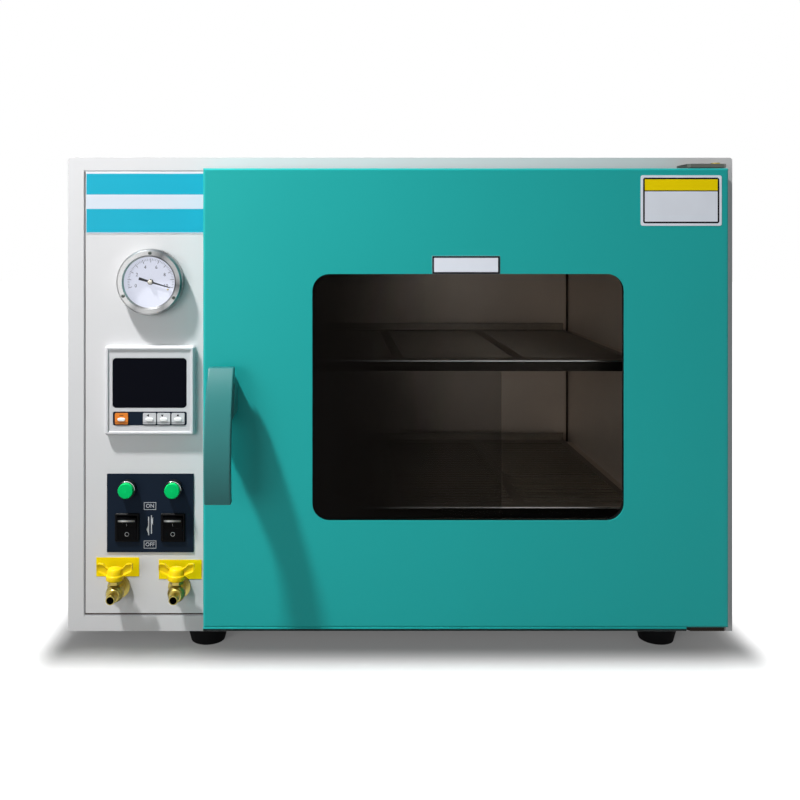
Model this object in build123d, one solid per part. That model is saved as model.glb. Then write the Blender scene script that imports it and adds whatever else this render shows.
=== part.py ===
from build123d import *
import os
from math import sqrt

# Vacuum oven: a heated, evacuated chamber behind a glazed door, with its controls at the left.
# Millimetres. X runs to the right of someone facing the oven, Y from the front to the back,
# and Z up from the surface that the feet stand on.

# cabinet
cabinet_width = 720
cabinet_height = 513
cabinet_depth = 440
foot_height = 17
sheet = 1.5
front_y = -180                       # plane of the cabinet's front strips
back_y = front_y + cabinet_depth
half_width = cabinet_width / 2
bottom_z = foot_height
top_z = foot_height + cabinet_height
side_strip = 17                      # width of the folded strips round the front
top_strip = 13.5
bottom_strip = 16.2
fold_radius = 3
frame_thickness = 2
frame_y = front_y + sheet

# feet
foot_top_radius = 23
foot_bottom_radius = 18.5
foot_x = (-211, 285)
foot_y = (front_y + 23, back_y - 40)

# chamber
chamber_x, chamber_z = 67, 276
chamber_width, chamber_height, chamber_depth = 420, 345, 372
chamber_wall = 4
flange_width, flange_height = 456, 381
gasket_width, gasket_height, gasket_strip = 452, 377, 11
gasket_front = front_y - 5.7
heater_thickness = 3
blanket_thickness = 45
blanket_front = front_y + 20
probe_radius = 3

# shelves
shelf_width, shelf_depth, shelf_sheet, shelf_lip = 400, 340, 2, 12
shelf_front = front_y + 18
shelf_tops = {"shelf_upper": 308, "shelf_lower": 146}
slot_pitch, slot_width = 10.8, 5.4
slot_columns = ((-125, -5), (7, 131), (143, 259))
rail_leg = 11

# door
door_left, door_right = -208.8, 341.3
door_bottom, door_top = 35.2, 516.1
door_front, door_back = front_y - 35, front_y - 7
door_edge_radius = 2.5
window_left, window_right = -94.4, 231.7
window_bottom, window_top = 147.4, 405.4
window_radius = 18
outer_glass_lap, outer_glass_thickness = 15.5, 4
inner_glass_width, inner_glass_height, inner_glass_thickness = 470, 400, 12
inner_glass_back = front_y - 6
panel_front = front_y - 22

# door hinge
hinge_x, hinge_y = 333, front_y - 21
pin_radius = 3.5
running_gap = 0.05
bracket_left, bracket_right = 300, 341
bracket_thickness = 4
bracket_corner = 3
bracket_gap = 0.9

# latch and handle
latch_x, latch_z = -187, 276
handle_width = 26.8
handle_top, handle_bottom = 310.8, 178.8
handle_reach = 57.5                  # how far the lever stands off the door at its crown
crown_z = 216
handle_radius = 148
handle_thickness = 9
boss_width, boss_height, boss_z = 29, 49, 278.5
shaft_radius = 5
head_length, head_width, head_thickness = 40, 12, 5
head_front = front_y + 6.2
keeper_slot_width, keeper_slot_height = 18, 52

# control panel
panel_left, panel_right = -341.5, -207
panel_bottom, panel_top = 34.7, 515
panel_y = front_y + 0.5
film_bottom, film_top = 448, 514
bulkhead_x = -204

# gauge
gauge_x, gauge_z = -269.6, 395.6
bezel_radius, bezel_height = 35.8, 14.5
bezel_shoulder = 33.4                # where the rounded rim meets the flat ring of the screws
dial_radius = 27.3
case_radius, case_depth = 30, 38
dial_height = 4
gauge_screw_circle = 31.2
gauge_screw_angles = (88, 208, 328)

# temperature controller
controller_x, controller_z = -270.2, 278.5
controller_size = 97
controller_front = front_y - 7
controller_rim = 4.5                 # raised rim round the controller's face
controller_face = controller_front + 1.3
screen_width, screen_height, screen_z = 79.7, 53.6, 286.7
strip_width, strip_height, strip_z = 79.4, 14.6, 248.4
key_width, key_height = 14, 11.8
key_x = {"key_set": -300.6, "key_shift": -270.4, "key_down": -255.2, "key_up": -239.7}

# switches and lamps
plate_width, plate_height, plate_x, plate_z = 94, 85, -270.7, 145
switch_x = {"rocker_power": -295.6, "rocker_heat": -246}
switch_z = 129.6
bezel_w, bezel_h = 26.4, 30.7
rocker_opening_w, rocker_opening_h = 22, 26.5
rocker_width = 21.2
rocker_tilt = 7.5
rocker_pivot_y = front_y + 1.5
lamp_x = (-294.9, -245.2)
lamp_z = 172.2
lamp_radius = 8.1
collar_radius = 9.5

# valves
valve_x = {"valve_handle_left": -304.5, "valve_handle_right": -239}
valve_z = 66
valve_out = 20.5                     # ball centre in front of the panel
ball_radius = 9.5
nozzle_radius, nozzle_bore, nozzle_length = 5, 3.8, 14
nozzle_tip = 41.5
nut_radius = 12
tube_radius = 4
stem_radius = 3
hub_bottom = 79.6
label_boxes = ((-329.5, -282.9, 76.1, 96.7), (-261.6, -215.2, 73.2, 94.2))

# mains inlet
gland_x, gland_z = -300, 70
gland_reach = 12.5
gland_bore = 4.5


def block(x0, x1, y0, y1, z0, z1):
    """A box between two corners."""
    return Pos((x0 + x1) / 2, (y0 + y1) / 2, (z0 + z1) / 2) * Box(x1 - x0, y1 - y0, z1 - z0)


def slab(x, z, width, height, y_front, y_back, radius=0):
    """A plate that faces the front, with its outline centred on x and z."""
    outline = RectangleRounded(width, height, radius) if radius else Rectangle(width, height)
    return Pos(x, y_back, z) * Rot(90, 0, 0) * extrude(outline, y_back - y_front)


def rod(x, z, y_front, y_back, radius):
    """A round bar along Y."""
    return Pos(x, (y_front + y_back) / 2, z) * Rot(90, 0, 0) * Cylinder(radius, y_back - y_front)


def post(x, y, z_low, z_high, radius):
    """A round bar along Z."""
    return Pos(x, y, (z_low + z_high) / 2) * Cylinder(radius, z_high - z_low)


def turned(points):
    """A body turned round Z from a closed outline of (radius, height) points."""
    face = make_face(Plane.XZ * Polyline(*points, close=True))
    return revolve(face, Axis.Z)


def facing(x, y, z):
    """Stands a body built along +Z out of the front, towards -Y."""
    return Pos(x, y, z) * Rot(90, 0, 0)


def hexagon(x, z, y_front, y_back, across_flats):
    """A hexagonal nut blank along Y."""
    corner = across_flats / sqrt(3)
    return Pos(x, y_back, z) * Rot(90, 0, 0) * extrude(RegularPolygon(corner, 6), y_back - y_front)


def group(*shapes):
    """Separate solids that share one node."""
    return Compound(children=[solid for shape in shapes for solid in shape.solids()])


def bottom_lip():
    """The base pan's front strip, mitred into the side strips."""
    inner = half_width - side_strip
    corners = [(-half_width, bottom_z), (half_width, bottom_z),
               (inner, bottom_z + bottom_strip), (-inner, bottom_z + bottom_strip)]
    outline = make_face(Polyline(*corners, close=True))
    return Pos(0, frame_y, 0) * Rot(90, 0, 0) * extrude(outline, sheet)


def make_cabinet():
    middle_z = (top_z + bottom_z) / 2
    shell = slab(0, middle_z, cabinet_width, cabinet_height, front_y, back_y)
    upper_edges = shell.edges().filter_by(Axis.Y).group_by(Axis.Z)[-1]
    shell = fillet(upper_edges, fold_radius)
    inner_z = (bottom_z - sheet, top_z - sheet)
    shell -= block(-half_width + sheet, half_width - sheet, frame_y, back_y + 1, *inner_z)
    mouth = (-half_width + side_strip, half_width - side_strip)
    shell -= block(*mouth, front_y - 1, frame_y + 1, bottom_z - 1, top_z - top_strip)
    wrap = shell - bottom_lip()

    floor = block(-half_width + sheet, half_width - sheet, frame_y, back_y, bottom_z, bottom_z + sheet)
    base = floor + bottom_lip()
    for x in foot_x:
        for y in foot_y:
            base -= post(x, y, bottom_z - 1, bottom_z + 3, 2.6)

    inside = half_width - sheet
    rear = block(-inside, inside, back_y - sheet, back_y, bottom_z + sheet, top_z - sheet)
    vent = slab(0, 0, 90, 5, back_y - 3, back_y + 1)
    for x in (-250, 250):
        for row in range(8):
            rear -= Pos(x, 0, 380 + 14 * row) * vent
    rear -= rod(gland_x, gland_z, back_y - 3, back_y + 1, 10.2)
    return wrap, base, rear


def make_front_frame():
    """The inner frame that carries the chamber, the hinges, the keeper and the control panel."""
    inside = half_width - sheet - 0.3
    frame = block(-inside, inside, frame_y, frame_y + frame_thickness, bottom_z + 2, top_z - 2)
    over = (front_y - 1, frame_y + frame_thickness + 1)
    frame -= block(-332, -214, *over, 42, 506)
    outer_w = chamber_width + 2 * chamber_wall + 1
    outer_h = chamber_height + 2 * chamber_wall + 1
    frame -= slab(chamber_x, chamber_z, outer_w, outer_h, *over)
    frame -= slab(latch_x, latch_z, 24, 60, *over)

    keeper_back = frame_y + frame_thickness + 2
    keeper = slab(latch_x, latch_z, 44, 84, frame_y + frame_thickness, keeper_back, 4)
    slot = slab(latch_x, latch_z, keeper_slot_width, keeper_slot_height, front_y, keeper_back + 1, 4)
    return frame, keeper - slot


def make_chamber():
    over = chamber_width / 2, chamber_height / 2
    back = front_y + chamber_depth
    outer = slab(chamber_x, chamber_z, chamber_width + 2 * chamber_wall,
                 chamber_height + 2 * chamber_wall, frame_y, back + chamber_wall, 10)
    flange = slab(chamber_x, chamber_z, flange_width, flange_height, front_y - sheet, frame_y, 12)
    cavity = slab(chamber_x, chamber_z, chamber_width, chamber_height, front_y - 3, back, 8)
    chamber = outer + flange - cavity
    chamber -= rod(chamber_x, 430, back - 5, back + 10, probe_radius + running_gap)
    for tube_y, tube_z in tube_ports().values():
        hole = Pos(chamber_x - over[0] - 5, tube_y, tube_z) * Rot(0, 90, 0)
        chamber -= hole * Cylinder(tube_radius + running_gap, 20)

    gasket = slab(chamber_x, chamber_z, gasket_width, gasket_height, gasket_front, front_y - sheet, 20)
    gasket -= slab(chamber_x, chamber_z, gasket_width - 2 * gasket_strip,
                   gasket_height - 2 * gasket_strip, gasket_front - 1, front_y, 14)
    front_edges = gasket.faces().sort_by(Axis.Y)[0].edges()
    return chamber, chamfer(front_edges, 1.6)


def tube_ports():
    """Where each vacuum tube enters the chamber's left wall: (y, z)."""
    return {"pump": (front_y + 120, 200), "vent": (front_y + 150, 170), "gauge": (front_y + 170, 396)}


def make_chamber_wraps():
    """Heating plates on four sides of the chamber, and the insulation round them."""
    left = chamber_x - chamber_width / 2 - chamber_wall
    right = chamber_x + chamber_width / 2 + chamber_wall
    low = chamber_z - chamber_height / 2 - chamber_wall
    high = chamber_z + chamber_height / 2 + chamber_wall
    y0, y1 = front_y + 40, front_y + chamber_depth - 20
    t = heater_thickness
    inset = 30
    plates = [block(left - t, left, y0, y1, low + inset, high - inset),
              block(right, right + t, y0, y1, low + inset, high - inset),
              block(left + inset, right - inset, y0, y1, low - t, low),
              block(left + inset, right - inset, y0, y1, high, high + t)]
    gap = t + 1
    back = front_y + chamber_depth + chamber_wall + 2
    b = blanket_thickness
    blanket = block(left - b, right + b, blanket_front, back + 35, low - b, high + b)
    blanket -= block(left - gap, right + gap, blanket_front - 1, back, low - gap, high + gap)
    blanket -= rod(chamber_x, 430, back - 5, back + 40, probe_radius + 0.5)
    for tube_y, tube_z in tube_ports().values():
        hole = Pos(left, tube_y, tube_z) * Rot(0, 90, 0)
        plates[0] -= hole * Cylinder(tube_radius + 0.5, 20)
        blanket -= hole * Cylinder(tube_radius + 0.5, 4 * b)

    probe = rod(chamber_x, 430, front_y + chamber_depth - 50, back + 40, probe_radius)
    probe += rod(chamber_x, 430, back + 35.5, back + 47, 6)
    rails = []
    for x in (left + 40, right - 40):
        rail = block(x - 20, x + 20, front_y + 30, back_y - 30, bottom_z + sheet, low - b)
        rail -= block(x - 18, x + 18, front_y, back_y, bottom_z, low - b - 2)
        rails.append(rail)
    return group(*plates), blanket, probe, group(*rails)


def make_shelf(top):
    left = chamber_x - shelf_width / 2
    back = shelf_front + shelf_depth
    shelf = block(left, left + shelf_width, shelf_front, back, top - shelf_sheet, top)
    shelf += block(left, left + shelf_width, shelf_front, shelf_front + shelf_sheet, top - shelf_lip, top)
    shelf += block(left, left + shelf_width, back - shelf_sheet, back, top, top + 10)
    rows = int((shelf_depth - 36) / slot_pitch)
    slots = []
    for x0, x1 in slot_columns:
        for row in range(rows):
            y = shelf_front + 18 + row * slot_pitch
            slots.append(block(x0, x1, y, y + slot_width, top - 5, top + 5))
    return shelf - slots


def make_shelf_rails():
    """An angle on each side wall under each shelf."""
    rails = []
    for top in shelf_tops.values():
        under = top - shelf_sheet
        for side in (-1, 1):
            wall = chamber_x + side * chamber_width / 2
            rail = block(0, rail_leg, shelf_front + 4, shelf_front + shelf_depth - 6, under - 2, under)
            rail += block(0, 2, shelf_front + 4, shelf_front + shelf_depth - 6, under - 12, under)
            if side > 0:
                rail = mirror(rail, Plane.YZ)
            rails.append(Pos(wall, 0, 0) * rail)
    return group(*rails)


def make_feet():
    foot = turned([(0, 4), (3, 4), (9, 4), (9, 0), (foot_bottom_radius, 0),
                   (foot_top_radius, foot_height), (0, foot_height)])
    foot -= Cylinder(2.6, 3 * foot_height)
    screw = turned([(0, 4), (4.4, 4), (4.4, 7.5), (2.5, 7.5), (2.5, 22), (0, 22)])
    foot -= Pos(0, 0, 2.5) * Cylinder(4.7, 10.4)
    places = [Pos(x, y, 0) for x in foot_x for y in foot_y]
    cover_screw = facing(0, 0, 0) * turned([(0, -2), (3.4, -2), (3.4, -0.6), (2.6, 0), (0, 0)])
    cover_places = [Pos(x, back_y, z) for x in (-340, 0, 340) for z in (40, 505)]
    return (group(*[place * foot for place in places]),
            group(*[place * screw for place in places]),
            group(*[place * cover_screw for place in cover_places]))


def hinge_bracket():
    """The upper hinge bracket: an angle whose tongue stands over the door's top edge."""
    low = door_top + bracket_gap
    high = low + bracket_thickness
    front = door_front + 4
    corners = [(bracket_left + bracket_corner, front), (bracket_right - bracket_corner, front),
               (bracket_right, front + bracket_corner), (bracket_right, front_y),
               (bracket_left, front_y), (bracket_left, front + bracket_corner)]
    tongue = Pos(0, 0, low) * extrude(make_face(Polyline(*corners, close=True)), bracket_thickness)
    flange_right = half_width - side_strip - 0.5
    leg = block(bracket_left, flange_right, front_y - 3, frame_y, low - 30, low - 0.5)
    web = block(bracket_left, flange_right, front_y - 3, front_y, low - 1, high)
    return tongue + leg + web - post(hinge_x, hinge_y, low - 5, high + 5, pin_radius + running_gap)


def hinge_pin():
    low = door_top + bracket_gap
    shank = post(hinge_x, hinge_y, door_top - 26, low + bracket_thickness, pin_radius)
    return shank + post(hinge_x, hinge_y, low + bracket_thickness, low + bracket_thickness + 1.6, 4.6)


def hinge_bush():
    bush = post(hinge_x, hinge_y, door_top - 28, door_top - sheet - 0.2, 5.5)
    return bush - post(hinge_x, hinge_y, 0, top_z, pin_radius + running_gap)


def both_ends(shape):
    """The upper hinge piece and its mirror image at the door's lower edge."""
    middle = Plane.XY.offset((door_top + door_bottom) / 2)
    return group(shape, mirror(shape, middle))


def make_door():
    middle_x, middle_z = (door_left + door_right) / 2, (door_bottom + door_top) / 2
    width, height = door_right - door_left, door_top - door_bottom
    window_x, window_z = (window_left + window_right) / 2, (window_bottom + window_top) / 2
    window_w, window_h = window_right - window_left, window_top - window_bottom

    shell = slab(middle_x, middle_z, width, height, door_front, door_back)
    shell = fillet(shell.faces().sort_by(Axis.Y)[0].edges(), door_edge_radius)
    shell -= slab(middle_x, middle_z, width - 2 * sheet, height - 2 * sheet,
                  door_front + sheet, door_back + 1)
    shell -= slab(window_x, window_z, window_w, window_h, door_front - 1, door_back, window_radius)
    shell -= rod(latch_x, latch_z, door_front - 1, door_back, 9.2)
    shell -= post(hinge_x, hinge_y, 0, top_z, 4.2)

    inner_w, inner_h = width - 2 * sheet - 0.4, height - 2 * sheet - 0.4
    panel = slab(middle_x, middle_z, inner_w, inner_h, panel_front, door_back)
    glass_front = inner_glass_back - inner_glass_thickness
    panel -= slab(chamber_x, chamber_z, inner_glass_width + 2, inner_glass_height + 2,
                  glass_front, door_back + 1, 6)
    panel -= slab(chamber_x, chamber_z, 430, 360, panel_front - 1, door_back, 16)
    panel -= rod(latch_x, latch_z, panel_front - 1, door_back + 1, 9.2)
    pocket = block(hinge_x - 6.5, door_right, panel_front - 1, hinge_y + 6.5, door_top - 30, door_top)
    panel -= both_ends(pocket)

    lap = 2 * outer_glass_lap
    glass_y = door_front + sheet
    glass_back = glass_y + outer_glass_thickness
    outer_glass = slab(window_x, window_z, window_w + lap, window_h + lap, glass_y, glass_back, 20)
    seal = slab(window_x, window_z, window_w + lap, window_h + lap, glass_back, panel_front, 20)
    seal -= slab(window_x, window_z, window_w + 4, window_h + 4, door_front, door_back, 20)
    inner_glass = slab(chamber_x, chamber_z, inner_glass_width, inner_glass_height,
                       glass_front, inner_glass_back, 5)
    bush = rod(latch_x, latch_z, door_front, door_back, 9)
    bush -= rod(latch_x, latch_z, door_front - 1, door_back + 1, shaft_radius + running_gap)
    return shell, panel, outer_glass, seal, inner_glass, bush


def make_handle():
    """A lever bowed away from the door, cast with the boss that carries it."""
    centre_y = door_front - handle_reach + handle_radius

    def bow(radius):
        return Pos(latch_x, centre_y, crown_z) * Rot(0, 90, 0) * Cylinder(radius, 80)

    lever = bow(handle_radius) - bow(handle_radius - handle_thickness)
    lever &= block(latch_x - handle_width / 2, latch_x + handle_width / 2,
                   door_front - handle_reach - 1, door_front - 5, handle_bottom, handle_top)
    ends = lever.edges().filter_by(Axis.X)
    lever = fillet(ends, 2.2)
    front = lever.faces().sort_by(lambda face: face.center().Y)[0]
    lever = fillet(front.edges().filter_by(GeomType.CIRCLE), 1.6)
    outline = RectangleRounded(boss_width, boss_height, boss_width / 2 - 2.5)
    boss = facing(latch_x, door_front - 0.4, boss_z) * extrude(outline, handle_reach)
    boss &= bow(handle_radius - handle_thickness + 1)
    shaft_end = door_front - 16
    handle = lever + boss - rod(latch_x, latch_z, shaft_end, door_front, shaft_radius)

    shaft = rod(latch_x, latch_z, shaft_end, head_front, shaft_radius)
    head_back = head_front + head_thickness
    shaft += slab(latch_x, latch_z, head_width, head_length, head_front, head_back, 3)
    return handle, shaft


def make_control_panel():
    middle_x, middle_z = (panel_left + panel_right) / 2, (panel_bottom + panel_top) / 2
    width, height = panel_right - panel_left, panel_top - panel_bottom
    over = (panel_y - 2, frame_y + 2)
    panel = slab(middle_x, middle_z, width, height, panel_y, frame_y, 1.5)
    panel = fillet(panel.faces().sort_by(Axis.Y)[0].edges(), 0.8)
    panel -= rod(gauge_x, gauge_z, *over, case_radius + 0.4)
    panel -= slab(controller_x, controller_z, 91.6, 91.6, *over)
    cuts = [rod(x, lamp_z, *over, 7.2) for x in lamp_x]
    cuts += [slab(x, switch_z, 24.8, 29.2, *over) for x in switch_x.values()]
    valve_cuts = [rod(x, valve_z, *over, 8) for x in valve_x.values()]
    panel -= cuts + valve_cuts
    film_z = (film_bottom + film_top) / 2
    film = slab(middle_x + 0.2, film_z, width - 2.2, film_top - film_bottom, panel_y - 0.4, panel_y)
    plate = slab(plate_x, plate_z, plate_width, plate_height, panel_y - 1, panel_y, 0.8) - cuts
    labels = []
    for x0, x1, z0, z1 in label_boxes:
        label = slab((x0 + x1) / 2, (z0 + z1) / 2, x1 - x0, z1 - z0, panel_y - 0.3, panel_y)
        labels.append(label - valve_cuts)
    bulkhead = block(bulkhead_x - sheet, bulkhead_x, blanket_front, back_y - 3,
                     bottom_z + sheet, top_z - 2)
    for tube_y, tube_z in tube_ports().values():
        bulkhead -= Pos(bulkhead_x, tube_y, tube_z) * Rot(0, 90, 0) * Cylinder(tube_radius + 0.5, 20)
    return panel, film, plate, group(*labels), bulkhead


def make_gauge():
    """The dial gauge, turned round the axis of its pointer."""
    place = facing(gauge_x, panel_y, gauge_z)
    bezel = turned([(30.2, 0), (bezel_radius - 1, 0), (bezel_radius, 1), (bezel_radius, bezel_height - 4.4),
                    (bezel_radius - 0.8, bezel_height - 1.9), (bezel_shoulder, bezel_height),
                    (dial_radius + 1.7, bezel_height), (dial_radius, bezel_height - 1.9),
                    (dial_radius, bezel_height - 2.5), (30.2, bezel_height - 2.5)])
    wall = 1.5
    floor = -case_depth
    case = turned([(0, floor), (case_radius, floor), (case_radius, dial_height - 1),
                   (case_radius - wall, dial_height - 1), (case_radius - wall, floor + 3), (0, floor + 3)])
    case += Pos(0, 0, floor - 8) * Cylinder(6.5, 16)
    dial = Pos(0, 0, dial_height - 0.5) * (Cylinder(case_radius, 1) - Cylinder(1.6, 3))
    lens_top = bezel_height - 2.5
    lens = Pos(0, 0, lens_top - 1) * Cylinder(case_radius, 2)
    dial_plate = place * dial
    needle_outline = Polyline((-13, -1.5), (-4, -1.1), (0, -1), (21, -0.5), (22.5, 0),
                              (21, 0.5), (0, 1), (-4, 1.1), (-13, 1.5), close=True)
    needle = Rot(0, 0, -16.5) * Pos(0, 0, dial_height + 1.6) * extrude(make_face(needle_outline), 0.7)
    pointer = needle + Pos(0, 0, dial_height + 2) * Cylinder(3, 3)
    pointer += Pos(0, 0, dial_height - 2) * Cylinder(1, 8)
    screw = turned([(0, 0), (1.8, 0), (1.8, 0.7), (1.3, 1.2), (0, 1.2)])
    screws = [place * Rot(0, 0, angle) * Pos(gauge_screw_circle, 0, bezel_height) * screw
              for angle in gauge_screw_angles]
    return place * bezel, place * case, dial_plate, place * lens, place * pointer, group(*screws)


def make_controller():
    """The square temperature controller: bezel, body, display and its row of four keys."""
    bezel = slab(controller_x, controller_z, controller_size, controller_size - 0.5,
                 controller_front, panel_y, 3)
    bezel = chamfer(bezel.faces().sort_by(Axis.Y)[0].edges(), 2)
    face_size = controller_size - 2 * controller_rim
    recess = Pos(controller_x, controller_face, controller_z) * Rot(90, 0, 0)
    bezel -= recess * extrude(Rectangle(face_size, face_size - 0.5), 2, taper=-35)
    bezel -= slab(controller_x - 0.3, screen_z, screen_width + 0.4, screen_height + 0.4,
                  controller_front - 1, controller_face + 1.2, 4)
    bezel -= slab(controller_x, strip_z, strip_width + 0.4, strip_height + 0.4,
                  controller_front - 1, controller_face + 3.6, 2)
    case = slab(controller_x, controller_z, 91, 91, panel_y, panel_y + 72, 2)
    screen = slab(controller_x - 0.3, screen_z, screen_width, screen_height,
                  controller_face + 0.2, controller_face + 1.2, 4)
    strip = slab(controller_x, strip_z, strip_width, strip_height,
                 controller_face + 0.2, controller_face + 1.2, 2)
    keys = {}
    for name, x in key_x.items():
        strip -= slab(x, strip_z, key_width + 0.3, key_height + 0.3,
                      controller_face, controller_face + 3, 1.2)
        key = slab(x, strip_z, key_width, key_height, controller_face - 1, controller_face + 2.6, 1)
        pill = slab(x, strip_z - 0.8, 8.2, 3.8, controller_face - 2, controller_face - 1, 1.8)
        keys[name] = key + chamfer(pill.faces().sort_by(Axis.Y)[0].edges(), 0.6)
    return bezel, case, screen, strip, keys


def make_switches():
    frames, rockers = [], {}
    for name, x in switch_x.items():
        bezel_back = panel_y - 1
        frame = slab(x, switch_z, bezel_w, bezel_h, bezel_back - 2, bezel_back, 1.5)
        frame = chamfer(frame.faces().sort_by(Axis.Y)[0].edges(), 0.8)
        frame += slab(x, switch_z, 24.4, 28.8, bezel_back, front_y + 20)
        frame -= slab(x, switch_z, rocker_opening_w, rocker_opening_h, bezel_back - 3, front_y + 14)
        trunnion = Pos(x, rocker_pivot_y, switch_z) * Rot(0, 90, 0)
        frames.append(frame - trunnion * Cylinder(1.5 + running_gap, 24.4))
        outline = [(4.4, 0), (6.2, 12.2), (-3, 12.2), (-3, 5), (-9, 4), (-9, -4),
                   (-3, -5), (-3, -12.2), (6.2, -12.2)]
        profile = make_face(Polyline(*[(-out, up) for out, up in outline], close=True))
        rocker = Rot(rocker_tilt, 0, 0) * extrude(Plane.YZ * profile, rocker_width / 2, both=True)
        rockers[name] = Pos(x, rocker_pivot_y, switch_z) * rocker + trunnion * Cylinder(1.5, 24.2)
    return group(*frames), rockers


def make_lamps():
    collars, lenses = [], []
    collar = turned([(0, -17), (7, -17), (7, 0), (collar_radius, 0), (collar_radius, 8.2),
                     (collar_radius - 0.8, 9), (0, 9)])
    lens = turned([(0, 9), (lamp_radius, 9), (lamp_radius, 13), (lamp_radius - 0.7, 13.8), (0, 14)])
    for x in lamp_x:
        collars.append(facing(x, panel_y - 1, lamp_z) * collar)
        lenses.append(facing(x, panel_y - 1, lamp_z) * lens)
    return group(*collars), group(*lenses)


def valve_body():
    """One brass ball valve at the origin of its panel hole, its flow along -Y."""
    body = turned([(0, -14), (7.5, -14), (7.5, 0), (7.5, 8), (7.2, valve_out - 6),
                   (7.2, valve_out + 9), (6.4, valve_out + 10), (nozzle_radius, valve_out + 10),
                   (nozzle_radius, nozzle_tip - 1), (4.6, nozzle_tip), (0, nozzle_tip)])
    body += Pos(0, 0, valve_out) * Sphere(ball_radius)
    body -= Pos(0, 0, nozzle_tip) * Cylinder(nozzle_bore, 2 * nozzle_length + 8)
    body = Rot(90, 0, 0) * body
    body += Pos(0, -valve_out, 5) * Cylinder(6.2, 9.5)
    return body - Pos(0, -valve_out, 8) * Cylinder(stem_radius + running_gap, 8)


def valve_nuts():
    """The flanged nut on the panel, the lock nut behind it and the packing nut on the neck."""
    flange = rod(0, 0, -3.7, -0.4, nut_radius) - rod(0, 0, -5, 5, 7.55)
    lock = hexagon(0, 0, 1, 6, 19) - rod(0, 0, -5, 10, 7.55)
    packing = Pos(0, -valve_out, 9.75) * extrude(RegularPolygon(7, 6), 3.2)
    packing -= post(0, -valve_out, 0, 20, stem_radius + running_gap)
    return group(flange, lock, packing)


def valve_handle():
    """The butterfly handle with its stepped hub and its stem."""
    hub = turned([(0, 0), (8.2, 0), (9.2, 1), (9.2, 6), (7.6, 7), (7.6, 11.5), (6.4, 13), (0, 13)])
    wing = make_face(Polyline((0, 2.5), (8, 3), (15.5, 9), (18.8, 16.5), (18.4, 20), (14.8, 20.4),
                              (11.5, 15), (7, 12), (0, 12), close=True))
    wing = extrude(Plane.XZ * wing, 2.2, both=True)
    wing = fillet(wing.edges().filter_by(Axis.Y).sort_by(Axis.X)[-3:], 1.2)
    handle = hub + wing + mirror(wing, Plane.YZ)
    stem_low = valve_z + 5
    return handle + Pos(0, 0, (stem_low - hub_bottom) / 2) * Cylinder(stem_radius, hub_bottom - stem_low)


def make_valves():
    bodies, nuts, handles = [], [], {}
    for name, x in valve_x.items():
        bodies.append(Pos(x, panel_y, valve_z) * valve_body())
        nuts.append(Pos(x, panel_y, valve_z) * valve_nuts())
        handles[name] = Pos(x, panel_y - valve_out, hub_bottom) * valve_handle()
    return group(*bodies), group(*nuts), handles


def make_tubes():
    """The copper tubes from the two valves and the gauge to the chamber's left wall."""
    inner_wall = chamber_x - chamber_width / 2
    starts = {"pump": (valve_x["valve_handle_left"], panel_y + 14, valve_z),
              "vent": (valve_x["valve_handle_right"], panel_y + 14, valve_z)}
    tubes = []
    for name, (x, y, z) in starts.items():
        port_y, port_z = tube_ports()[name]
        route = [(x, y, z), (x, port_y, z), (x, port_y, port_z), (inner_wall, port_y, port_z)]
        path = FilletPolyline(*route, radius=18)
        tubes.append(sweep(Plane(path @ 0, z_dir=path % 0) * Circle(tube_radius), path))
    port_y, port_z = tube_ports()["gauge"]
    route = [(gauge_x, panel_y + case_depth + 16, gauge_z), (gauge_x, port_y, gauge_z),
             (inner_wall, port_y, port_z)]
    path = FilletPolyline(*route, radius=18)
    tubes.append(sweep(Plane(path @ 0, z_dir=path % 0) * Circle(tube_radius), path))
    return group(*tubes)


def make_electrics():
    """The relay on the bulkhead, and the gland where the mains cord enters at the back."""
    relay_right = bulkhead_x - sheet
    relay = block(relay_right - 6, relay_right, 60, 130, 240, 320)
    fins = [block(relay_right - 22, relay_right - 6, 60, 130, 242 + 8 * n, 244 + 8 * n) for n in range(10)]
    relay = relay + fins
    gland = turned([(gland_bore, -16), (9.8, -16), (9.8, 0), (13, 0), (13, 5), (11.5, 6),
                    (11, gland_reach - 1), (10, gland_reach), (gland_bore, gland_reach)])
    gland = Pos(gland_x, back_y, gland_z) * Rot(-90, 0, 0) * gland
    nut = hexagon(gland_x, gland_z, back_y - 6.5, back_y - sheet, 24)
    nut -= rod(gland_x, gland_z, back_y - 8, back_y, 9.85)
    return relay, gland, nut


nodes = {}
nodes["outer_wrap"], nodes["base_pan"], nodes["rear_cover"] = make_cabinet()
nodes["front_frame"], nodes["latch_keeper"] = make_front_frame()
nodes["inner_chamber"], nodes["door_gasket"] = make_chamber()
(nodes["heater_plates"], nodes["insulation_blanket"],
 nodes["temperature_probe"], nodes["chamber_rails"]) = make_chamber_wraps()
for shelf_name, shelf_top in shelf_tops.items():
    nodes[shelf_name] = make_shelf(shelf_top)
nodes["shelf_rails"] = make_shelf_rails()
nodes["feet"], nodes["foot_screws"], nodes["cover_screws"] = make_feet()
nodes["hinge_brackets"] = both_ends(hinge_bracket())
nodes["hinge_pins"] = both_ends(hinge_pin())
nodes["hinge_bushes"] = both_ends(hinge_bush())
(nodes["door_shell"], nodes["door_inner_panel"], nodes["outer_glass"],
 nodes["window_seal"], nodes["inner_glass"], nodes["handle_bush"]) = make_door()
nodes["door_handle"], nodes["latch_shaft"] = make_handle()
(nodes["control_panel"], nodes["header_film"], nodes["switch_plate"],
 nodes["valve_labels"], nodes["bulkhead"]) = make_control_panel()
(nodes["gauge_bezel"], nodes["gauge_case"], nodes["gauge_dial"],
 nodes["gauge_lens"], nodes["gauge_pointer"], nodes["gauge_screws"]) = make_gauge()
(nodes["controller_bezel"], nodes["controller_case"], nodes["controller_screen"],
 nodes["key_strip"], controller_keys) = make_controller()
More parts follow.
